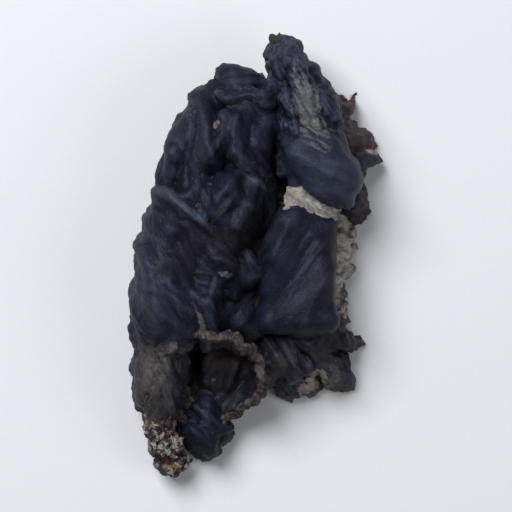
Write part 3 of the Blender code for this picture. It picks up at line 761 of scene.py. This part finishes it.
class Board:
    def __init__(self, name):
        self.material = bpy.data.materials.new(name)
        self.material.use_nodes = True
        self.tree = self.material.node_tree
        self.tree.nodes.clear()

    def node(self, kind, settings, inputs, output=0):
        made = self.tree.nodes.new(kind)
        for name, value in settings.items():
            setattr(made, name, value)
        for name, value in inputs.items():
            if isinstance(value, Wire):
                self.tree.links.new(value.socket, made.inputs[name])
            else:
                made.inputs[name].default_value = value
        return Wire(self, made.outputs[output] if made.outputs else None)

    def maths(self, operation, first, second):
        return self.node("ShaderNodeMath", {"operation": operation}, {0: first, 1: second})

    def vector(self, operation, first, second, output=0):
        return self.node("ShaderNodeVectorMath", {"operation": operation},
                         {0: first, 1: second}, output)

    def grown(self, wire, factor):
        return self.node("ShaderNodeVectorMath", {"operation": "SCALE"},
                         {0: wire, "Scale": factor})

    def mix(self, share, first, second):
        return self.node("ShaderNodeMix", {"data_type": "RGBA"},
                         {0: share, 6: tint(first), 7: tint(second)}, 2)

    def step(self, wire, low, high):
        return self.node("ShaderNodeMapRange", {"interpolation_type": "SMOOTHSTEP"},
                         {"Value": wire, "From Min": low, "From Max": high})

    def attribute(self, name, output=2):
        return self.node("ShaderNodeAttribute", {"attribute_name": name}, {}, output)

    def noise(self, where, size, detail=3.0, roughness=0.55, output=0):
        return self.node("ShaderNodeTexNoise", {}, {
            "Vector": where, "Scale": 1.0 / size, "Detail": detail,
            "Roughness": roughness}, output)

    def finish(self, shader):
        self.node("ShaderNodeOutputMaterial", {}, {"Surface": shader})
        return self.material


def tint(value):
    return value if isinstance(value, Wire) else (*value, 1)


skinLook = dict(
    black=(0.0036, 0.0038, 0.0085),
    blue=(0.0072, 0.0080, 0.0190),
    brown=(0.016, 0.012, 0.013),
    greyBrown=(0.048, 0.041, 0.038),
    # pale dust bloom, also used for the painted highlight on the crests
    bloomAndSheen=(0.056, 0.061, 0.101),
    # painted shade for the creases
    groove=(0.0024, 0.0022, 0.0034),
    rimTan=(0.120, 0.100, 0.084),
    # brown of the thin margin, partly painted light shining through it
    rimBrownAndTranslucence=(0.028, 0.018, 0.016),
    downDark=(0.036, 0.029, 0.025),
    downPale=(0.105, 0.088, 0.074),
    fibre=(0.190, 0.165, 0.140),
    cream=(0.330, 0.300, 0.262),
    creamDark=(0.150, 0.132, 0.118),
    bark=(0.150, 0.068, 0.036),
    wound=(0.040, 0.030, 0.026),
    shaded=0.5,  # the darker shade in a coloured place, as a share of its colour
)

skinSizes = dict(  # of the patterns, in millimetres
    swirl=2.4, cloud=7.0, mottle=1.6, fleck=0.35, streak=0.9, vein=1.7, shrivel=0.5,
    pores=0.5, bark=1.6, relief=0.10,
    stray=1.6, bend=1.5,  # how far streaks and mottling wander
    stretch=(0.3, 1.0, 0.6),  # of streaks, along the grain, across it and upward
)

skinLayers = dict(  # how strongly each covers what is below it
    # the crest layer is a painted highlight, the groove layer painted shade in the creases, and the
    # brown rim layer partly painted light shining through the thin margin
    crestHighlight=0.5, wornBloom=0.3, veinBloom=0.1, groove=0.7, rimBrownAndTranslucence=0.5, rimTan=0.85,
    dust=0.35, fibre=0.5,
)

skinSheen = dict(rough=0.42, gloss=0.17, glossTint=(0.78, 0.84, 1.0, 1.0), bump=0.6)

# Coloured places: middle, heading, half length and half width, how much of them is
# covered (above 1 the gaps fill up too), the heights between which they are, how
# ragged they are, and the colour. soft is how gently they end, and edge what breaks
# them up: mottle, streak or speck. What a place doesn't say is plain. Several are
# painted light: highlights along ridges and rims, glints, sheen on the smooth lobe,
# and the cup wall painted paler to stand in for light under its rim.
plainPlace = dict(heights=(6.0, 17.0), ragged=0.9, edge="mottle", soft=0.15)
streaky = dict(edge="streak", soft=0.4)
blurred = dict(edge="streak", soft=0.6)
patches = {
    "redTip": dict(at=(12.2, 19.5), heading=0, reach=2.4, width=1.5, cover=0.95, heights=(-1, 4.2),
        ragged=0.8, tint=(0.092, 0.024, 0.02)),
    "brownTip": dict(at=(13, 15.8), heading=-50, reach=3.2, width=2, cover=0.85, heights=(-1, 7),
        ragged=0.6, tint=(0.066, 0.036, 0.035)),
    # painted highlight on the top edge of a fringe tip
    "tipHighlight": dict(at=(15.1, 13.5), heading=-10, reach=0.9, width=0.45, cover=0.85,
        heights=(1.8, 7), tint=(0.42, 0.34, 0.32)),
    "brownSide": dict(at=(14.1, 6.4), heading=90, reach=2.4, width=1.1, cover=0.8, heights=(-1, 7),
        tint=(0.04, 0.021, 0.02)),
    "darkSide": dict(at=(13.4, 9), heading=60, reach=1.6, width=0.8, cover=0.8, heights=(-1, 7),
        ragged=0.8, tint=(0.008, 0.009, 0.016)),
    "darkTip": dict(at=(14.6, 11.6), heading=20, reach=2.2, width=1.3, cover=0.85, heights=(-1, 7),
        ragged=0.7, tint=(0.01, 0.0105, 0.022)),
    "paleEdgeFlake": dict(at=(11.2, -5.2), heading=75, reach=2.2, width=0.8, cover=0.9,
        heights=(-1, 9), ragged=1.3, tint=(0.008, 0.009, 0.015)),
    "violetLeft": dict(at=(-7.3, 1.2), heading=20, reach=4.4, width=3.6, cover=0.75, ragged=1.2,
        tint=(0.0135, 0.0095, 0.013), **blurred),
    "violetMiddle": dict(at=(-2.6, 1.6), heading=70, reach=5, width=2.6, cover=0.8, ragged=1.2,
        tint=(0.0125, 0.0092, 0.013), **blurred),
    "greySpeckle": dict(at=(-13.2, -15.8), heading=84, reach=6, width=2.4, cover=0.8,
        heights=(-1, 12), ragged=3.2, tint=(0.092, 0.082, 0.074), edge="streak", soft=0.5),
    # the cup's brown inner wall, painted paler than it is to stand in for light under the rim
    "cupBrownAndLight": dict(at=(-4, -13.4), heading=-14, reach=4.6, width=1.5, cover=0.8, heights=(4, 11),
        ragged=1.4, tint=(0.1, 0.078, 0.076), edge="streak", soft=0.5),
    "archLeft": dict(at=(-9.3, -12), heading=22, reach=3.2, width=0.55, cover=0.8, heights=(8, 15),
        ragged=1.4, tint=(0.085, 0.072, 0.064), edge="speck", soft=0.4),
    "lipShade": dict(at=(4.1, 9.5), heading=-12, reach=1.9, width=0.75, cover=2, heights=(8, 17),
        ragged=0.5, tint=(0.0085, 0.0095, 0.021)),
    "creamMark": dict(at=(-5, 16.6), heading=60, reach=0.6, width=0.32, cover=0.8, heights=(8, 17),
        ragged=1, tint=(0.24, 0.21, 0.18), edge="speck"),
    "glint": dict(at=(-3.8, -2.3), heading=-12, reach=0.9, width=0.36, cover=0.95, ragged=1.1,
        tint=(0.15, 0.16, 0.205), edge="speck"),
    "glintTail": dict(at=(-5.4, -3.8), heading=75, reach=1.4, width=0.3, cover=0.6,
        tint=(0.085, 0.09, 0.115), **streaky),
    # painted highlights along the ridge of the lower fold
    "leftRidgeHighlightFar": dict(at=(-11.4, 7.9), heading=-18, reach=2, width=0.7, cover=0.9, ragged=1.2,
        tint=(0.05, 0.054, 0.078), **streaky),
    "leftRidgeHighlight": dict(at=(-8.3, 5.7), heading=-42, reach=3.1, width=0.45, cover=1, ragged=1.2,
        tint=(0.062, 0.067, 0.094), **streaky),
    # painted highlights along the shell's ridge and its edge
    "shellRidgeHighlight": dict(at=(-7.2, 14.2), heading=86, reach=4.6, width=1, cover=0.55, ragged=1,
        tint=(0.048, 0.052, 0.074), **blurred),
    "shellEdgeHighlight": dict(at=(-5.2, 13.8), heading=58, reach=2.2, width=0.4, cover=0.6,
        tint=(0.06, 0.064, 0.086), **streaky),
    # painted highlights along the curved ridge of the upper lobe
    "lobeRingHighlight": dict(at=(-2.1, 13.4), heading=96, reach=2.6, width=0.42, cover=0.55,
        tint=(0.058, 0.062, 0.086), **streaky),
    "lobeTailHighlight": dict(at=(-0.7, 10.2), heading=-40, reach=2.5, width=0.5, cover=1, ragged=0.8,
        tint=(0.082, 0.088, 0.116), **streaky),
    # painted highlight along the middle ridge
    "middleHighlight": dict(at=(-4.1, 6.1), heading=50, reach=2.2, width=0.45, cover=1,
        tint=(0.07, 0.074, 0.098), **streaky),
    # painted highlight on the upper edge of the crown roll
    "crownRidgeHighlight": dict(at=(-1.4, 22.2), heading=4, reach=3, width=0.42, cover=0.5,
        tint=(0.05, 0.054, 0.076), **streaky),
    "lowerBlue": dict(at=(-12.6, -6.4), heading=-66, reach=6.2, width=2.6, cover=0.45,
        heights=(2, 17), ragged=1.1, tint=(0.044, 0.048, 0.068), **blurred),
    "finger": dict(at=(-6.5, -9.8), heading=-72, reach=2.4, width=0.5, cover=0.95, ragged=1.6,
        tint=(0.15, 0.134, 0.115), edge="streak"),
    # painted sheen across the smooth lobe
    "lobeSheen": dict(at=(9.2, 9.6), heading=-38, reach=4.8, width=2.9, cover=0.75, ragged=1.2,
        tint=(0.049, 0.056, 0.09), **blurred),
    # painted highlights on the pleats
    "pleatHighlight": dict(at=(6.6, 18.4), heading=-68, reach=4.2, width=1.5, cover=0.9, ragged=2.8,
        tint=(0.195, 0.195, 0.2), **streaky),
    # a vein on the panel, partly its own pale colour and partly a painted highlight
    "panelVeinHighlight": dict(at=(6.3, -1.2), heading=50, reach=3.3, width=0.3, cover=0.6, ragged=1,
        tint=(0.062, 0.068, 0.096), **streaky),
    "panelLow": dict(at=(5.6, -5.4), heading=36, reach=3, width=0.9, cover=0.4, ragged=1.1,
        tint=(0.056, 0.062, 0.088), **blurred),
    # painted highlight along the panel's lower rim
    "panelRimHighlight": dict(at=(5.4, -9.9), heading=2, reach=4.6, width=0.45, cover=0.55, ragged=1,
        tint=(0.062, 0.066, 0.09), **streaky),
    "creamScraps": dict(at=(7.5, -16.2), heading=42, reach=2.5, width=1, cover=0.95,
        heights=(-1, 8), ragged=2, tint=(0.4, 0.34, 0.29), edge="streak"),
    "tanScraps": dict(at=(10, -17), heading=66, reach=2.6, width=1.3, cover=0.7, heights=(-1, 8),
        ragged=1.1, tint=(0.125, 0.104, 0.088), edge="streak", soft=0.3),
    "nearScrap": dict(at=(2.7, -15), heading=56, reach=2.4, width=0.8, cover=0.7, heights=(-1, 9),
        ragged=2.4, tint=(0.055, 0.046, 0.041), edge="streak"),
    "nearEdge": dict(at=(4.4, -19), heading=4, reach=3.4, width=0.8, cover=0.6, heights=(-1, 4),
        ragged=1, tint=(0.12, 0.096, 0.084)),
}


def patchShare(board, spot, uneven, patch):
    heading = math.radians(patch["heading"])
    away = board.vector("SUBTRACT", spot, (*patch["at"], 0.0))
    along = board.vector("DOT_PRODUCT", away, (
        math.cos(heading) / patch["reach"], math.sin(heading) / patch["reach"], 0.0), 1)
    across = board.vector("DOT_PRODUCT", away, (
        -math.sin(heading) / patch["width"], math.cos(heading) / patch["width"], 0.0), 1)
    height = board.node("ShaderNodeSeparateXYZ", {}, {0: spot}, 2)
    out = (along * along + across * across) ** 0.5 + (uneven - 0.5) * patch["ragged"] * 2
    low, high = patch["heights"]
    level = board.step(height, low - 0.5, low + 0.5)
    level = level * (1 - board.step(height, high - 0.5, high + 0.5))
    inside = 1 - board.step(out, 0.9 - patch["soft"], 0.95 + patch["soft"])
    whole = 0.5 + 0.5 * board.step(1 - uneven, 0.38, 0.58)
    return inside * level * patch["cover"] * whole


def driedFlesh():
    look, size, layer, sheen = skinLook, skinSizes, skinLayers, skinSheen
    board = Board("dried_flesh")
    spot = board.grown(board.node("ShaderNodeTexCoord", {}, {}, 3), 1 / mm)
    ridge, fold, way, under, tone, bloomAndSheen, fine, pale, rim, foot = (
        board.attribute(name) for name in (
            "ridge", "fold", "way", "under", "tone", "bloomAndSheen", "fine", "pale", "rim", "foot"))
    grain = board.attribute("grain", 1)
    swirl = board.noise(spot, size["swirl"], 3, 0.6, 1)
    swirl = board.vector("SUBTRACT", swirl, (0.5, 0.5, 0.5))
    long = board.vector("ADD", board.vector("MULTIPLY", grain, size["stretch"]),
                        board.grown(swirl, size["stray"]))
    bent = board.vector("ADD", spot, board.grown(swirl, size["bend"]))

    cloud = board.noise(spot, size["cloud"], 3)
    mottle = board.noise(bent, size["mottle"], 4, 0.6)
    fleck = board.noise(spot, size["fleck"], 4, 0.65)
    streak = board.noise(long, size["streak"], 4, 0.6)
    vein = 1 - board.step(abs(board.noise(long, size["vein"], 2, 0.5) - 0.5), 0.0, 0.03)
    shrivel = 1 - board.step(abs(board.noise(long, size["shrivel"], 2, 0.5) - 0.5), 0.0, 0.10)
    pores = board.noise(spot, size["pores"], 2)

    skin = board.mix(board.step(cloud, 0.35, 0.65), look["black"], look["blue"])
    skin = board.mix(board.step(tone + (mottle - 0.5) * 0.5, 0.15, 0.7), skin, look["brown"])
    skin = board.mix(board.step(tone + (streak - 0.5) * 0.9, 0.45, 1.1), skin, look["greyBrown"])
    # painted highlight: the crests of the fine relief are made lighter
    high = board.step(ridge + (streak - 0.5) * 0.05 + (fleck - 0.5) * 0.04, -0.01, 0.10)
    worn = board.step(streak + (mottle - 0.5) * 0.5 + (fleck - 0.5) * 0.3, 0.42, 0.92)
    # pale bloom from wear and veins, together with the painted highlight on the crests
    bloomAndHighlight = (high * layer["crestHighlight"] + worn * layer["wornBloom"]
             + vein * layer["veinBloom"])
    skin = board.mix(bloomAndHighlight * bloomAndSheen, skin, look["bloomAndSheen"])
    # painted shade: darker in the creases of the broad relief
    skin = board.mix(board.step(0 - fold, 0.05, 0.45) * layer["groove"], skin, look["groove"])
    # brown margin: partly its own colour, partly painted light shining through the thin sheet
    thin = board.step(way + (mottle - 0.5) * 0.1, 0.90, 0.98)
    skin = board.mix(thin * layer["rimBrownAndTranslucence"], skin, look["rimBrownAndTranslucence"])
    edge = board.step(way + (fleck - 0.5) * 0.1, 0.88, 0.96) * rim
    flecked = board.step(fleck + (mottle - 0.5) * 0.9, 0.40, 0.62)
    skin = board.mix(edge * flecked * layer["rimTan"], skin, look["rimTan"])
    dust = board.step(pores + (mottle - 0.5) * 0.3, 0.66, 0.76)
    skin = board.mix(dust * layer["dust"], skin, look["bloomAndSheen"])

    down = board.mix(board.step(mottle, 0.3, 0.7), look["downDark"], look["downPale"])
    down = board.mix(board.step(fleck, 0.4, 0.7) * layer["fibre"], down, look["fibre"])
    base = board.mix(under, skin, down)
    bare = board.mix(board.step(fleck * 0.4 + streak * 0.6, 0.4, 0.62), look["creamDark"],
                     look["cream"])
    base = board.mix(board.step(pale + (mottle - 0.5) * 0.7 + (streak - 0.5) * 0.9, 0.34, 0.60),
                     base, bare)
    torn = board.mix(board.step(board.noise(spot, size["bark"], 3), 0.40, 0.56),
                     look["bark"], look["cream"])
    torn = board.mix(board.step(mottle * 0.5 + streak * 0.5, 0.44, 0.56), look["wound"], torn)
    base = board.mix(foot, base, torn)
    edges = {"mottle": mottle * 0.5 + fleck * 0.5, "speck": pores * 0.7 + fleck * 0.3,
             "streak": streak * 0.75 + fleck * 0.25}
    speckle = board.step(streak * 0.5 + fleck * 0.5, 0.40, 0.58)
    for own in patches.values():
        patch = {**plainPlace, **own}
        uneven = edges[patch["edge"]]
        shaded = [value * look["shaded"] for value in patch["tint"]]
        colour = board.mix(speckle, shaded, patch["tint"])
        base = board.mix(patchShare(board, spot, uneven, patch), base, colour)

    rough = sheen["rough"] + mottle * 0.16 + under * 0.35 + foot * 0.3 + pale * 0.2
    relief = streak * 0.8 + vein * 0.2 * fine + fleck * 0.3 + shrivel * 0.35
    bump = board.node("ShaderNodeBump", {}, {
        "Strength": sheen["bump"], "Distance": size["relief"] * mm, "Height": relief})
    return board.finish(board.node("ShaderNodeBsdfPrincipled", {}, {
        "Base Color": base, "Roughness": rough, "Normal": bump,
        "Specular IOR Level": sheen["gloss"], "Specular Tint": sheen["glossTint"]}))


# Splinters of bark and wood that came off with the foot

splinters = dict(
    count=60, seed=5,
    bareFrom=0.35,  # how torn the foot is where they start
    corners=7, cuts=3,
    reach=(0.7, 1.5), width=(0.24, 0.55),  # millimetres
    tip=0.75,  # width at the far end, as a share of the near one
    flat=0.42,  # thickness, as a share of the width
    toward=(0.5, -0.5, 0),  # where most of them point
    lift=0.3,  # how far they stand up from the surface
    sunk=0.35, bend=0.6, bendGap=0.8,  # millimetres
)


def tornSplinters(clump, foot):
    choose = random.Random(splinters["seed"])
    where, out = read(clump, "co"), read(clump, "normal")
    bare = np.flatnonzero(foot > splinters["bareFrom"])
    pick([])
    for index in range(splinters["count"]):
        spot = choose.choice(bare)
        normal = Vector(out[spot])
        lean = Vector([choose.uniform(-1, 1) for _ in range(3)]) + Vector(splinters["toward"])
        lean = (lean - normal * lean.dot(normal)).normalized()
        aim = (lean + normal * splinters["lift"]).normalized()
        reach = choose.uniform(*splinters["reach"]) * mm
        width = choose.uniform(*splinters["width"]) * mm
        base = Vector(where[spot]) - aim * splinters["sunk"] * mm
        bpy.ops.mesh.primitive_cone_add(
            vertices=splinters["corners"], radius1=width, radius2=width * splinters["tip"],
            depth=reach, location=base + aim * reach / 2,
            rotation=aim.to_track_quat("Z", "Y").to_euler(),
            scale=(1, splinters["flat"], 1))
        if index == 0:
            piece = bpy.context.object
            piece.name = "footSplinters"
            bpy.ops.object.transform_apply()
            bpy.ops.object.mode_set(mode="EDIT")
    bpy.ops.mesh.select_all(action="SELECT")
    bpy.ops.mesh.subdivide(number_cuts=splinters["cuts"])
    bpy.ops.object.mode_set(mode="OBJECT")
    points = read(piece, "co")
    points = points + vectorNoise(points / mm, splinters["bendGap"], 61) * splinters["bend"] * mm
    points[:, 2] = np.maximum(points[:, 2], 0)
    place(piece, points)
    pick([piece])
    bpy.ops.object.shade_smooth()
    print("stage: splinters", len(piece.data.polygons))
    return piece


woodSizes = dict(patch=2.6, blot=0.9, grit=0.22, relief=0.06)  # millimetres


def tornWood():
    look, size = skinLook, woodSizes
    board = Board("torn_wood")
    spot = board.grown(board.node("ShaderNodeTexCoord", {}, {}, 3), 1 / mm)
    patch = board.noise(spot, size["patch"], 2)
    blot = board.noise(spot, size["blot"], 3)
    grit = board.noise(spot, size["grit"], 4, 0.6)
    pale = board.mix(board.step(grit, 0.35, 0.65), look["creamDark"], look["cream"])
    base = board.mix(board.step(patch, 0.40, 0.50), look["bark"], pale)
    base = board.mix(board.step(blot + (grit - 0.5) * 0.4, 0.44, 0.56), look["wound"], base)
    bump = board.node("ShaderNodeBump", {}, {
        "Strength": 0.7, "Distance": size["relief"] * mm, "Height": grit})
    return board.finish(board.node("ShaderNodeBsdfPrincipled", {}, {
        "Base Color": base, "Roughness": 0.8 + grit * 0.15, "Normal": bump,
        "Specular IOR Level": 0.12}))


# Floor, lights and camera

studio = dict(
    floor=1.6, floorDrop=0.04 * mm,
    paper=(0.72, 0.72, 0.74), paperShade=(0.68, 0.68, 0.70), paperGrain=0.5,
    sensor=36.0, lens=190.0,
    shown=65.5 * mm,  # width of the picture at the height of the clump's middle
    middle=8 * mm,
    room=(0.86, 0.89, 0.95), roomLight=0.15,
)

lamps = {
    "softLight": dict(at=(-0.18, 0.24, 0.42), size=0.28, watts=3.3, tint=(0.95, 0.97, 1.0)),
    "rightFill": dict(at=(0.36, -0.10, 0.30), size=0.30, watts=0.6, tint=(0.93, 0.96, 1.0)),
}


def makeStudio():
    pick([])
    bpy.ops.mesh.primitive_plane_add(size=studio["floor"], location=(0, 0, -studio["floorDrop"]))
    floor = bpy.context.object
    floor.name = "paperFloor"
    board = Board("paper")
    spot = board.grown(board.node("ShaderNodeTexCoord", {}, {}, 3), 1 / mm)
    shade = board.mix(board.noise(spot, studio["paperGrain"], 3), studio["paper"],
                      studio["paperShade"])
    floor.data.materials.append(board.finish(board.node(
        "ShaderNodeBsdfPrincipled", {}, {"Base Color": shade, "Roughness": 0.75})))

    world = bpy.data.worlds.new("paleRoom")
    bpy.context.scene.world = world
    world.use_nodes = True
    back = world.node_tree.nodes["Background"]
    back.inputs["Color"].default_value = (*studio["room"], 1)
    back.inputs["Strength"].default_value = studio["roomLight"]

    for name, lamp in lamps.items():
        bpy.ops.object.light_add(type="AREA", location=lamp["at"])
        light = bpy.context.object
        light.name = name
        light.data.energy = lamp["watts"]
        light.data.size = lamp["size"]
        light.data.color = lamp["tint"]
        aim = Vector((0, 0, studio["middle"])) - Vector(lamp["at"])
        light.rotation_euler = aim.to_track_quat("-Z", "Y").to_euler()

    half = math.atan(studio["sensor"] / 2 / studio["lens"])
    away = studio["shown"] / 2 / math.tan(half)
    bpy.ops.object.camera_add(location=(0, 0, studio["middle"] + away), rotation=(0, 0, 0))
    camera = bpy.context.object
    camera.data.lens = studio["lens"]
    camera.data.clip_start = 0.01
    camera.data.clip_end = 5
    bpy.context.scene.camera = camera
    bpy.context.scene.view_settings.view_transform = "Standard"
    print("stage: studio set up")


clump, sheets = growEars()
wrinkle(clump, sheets)
sharpen(clump)
shift = thinOut(clump)
foot = paintShape(clump, sheets, shift)
pick([clump])
bpy.ops.object.shade_smooth()
clump.data.materials.clear()
clump.data.materials.append(driedFlesh())
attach(clump, "root")
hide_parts("wood_ear")

torn = tornSplinters(clump, foot)
torn.data.materials.append(tornWood())
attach(torn, "root")
makeStudio()
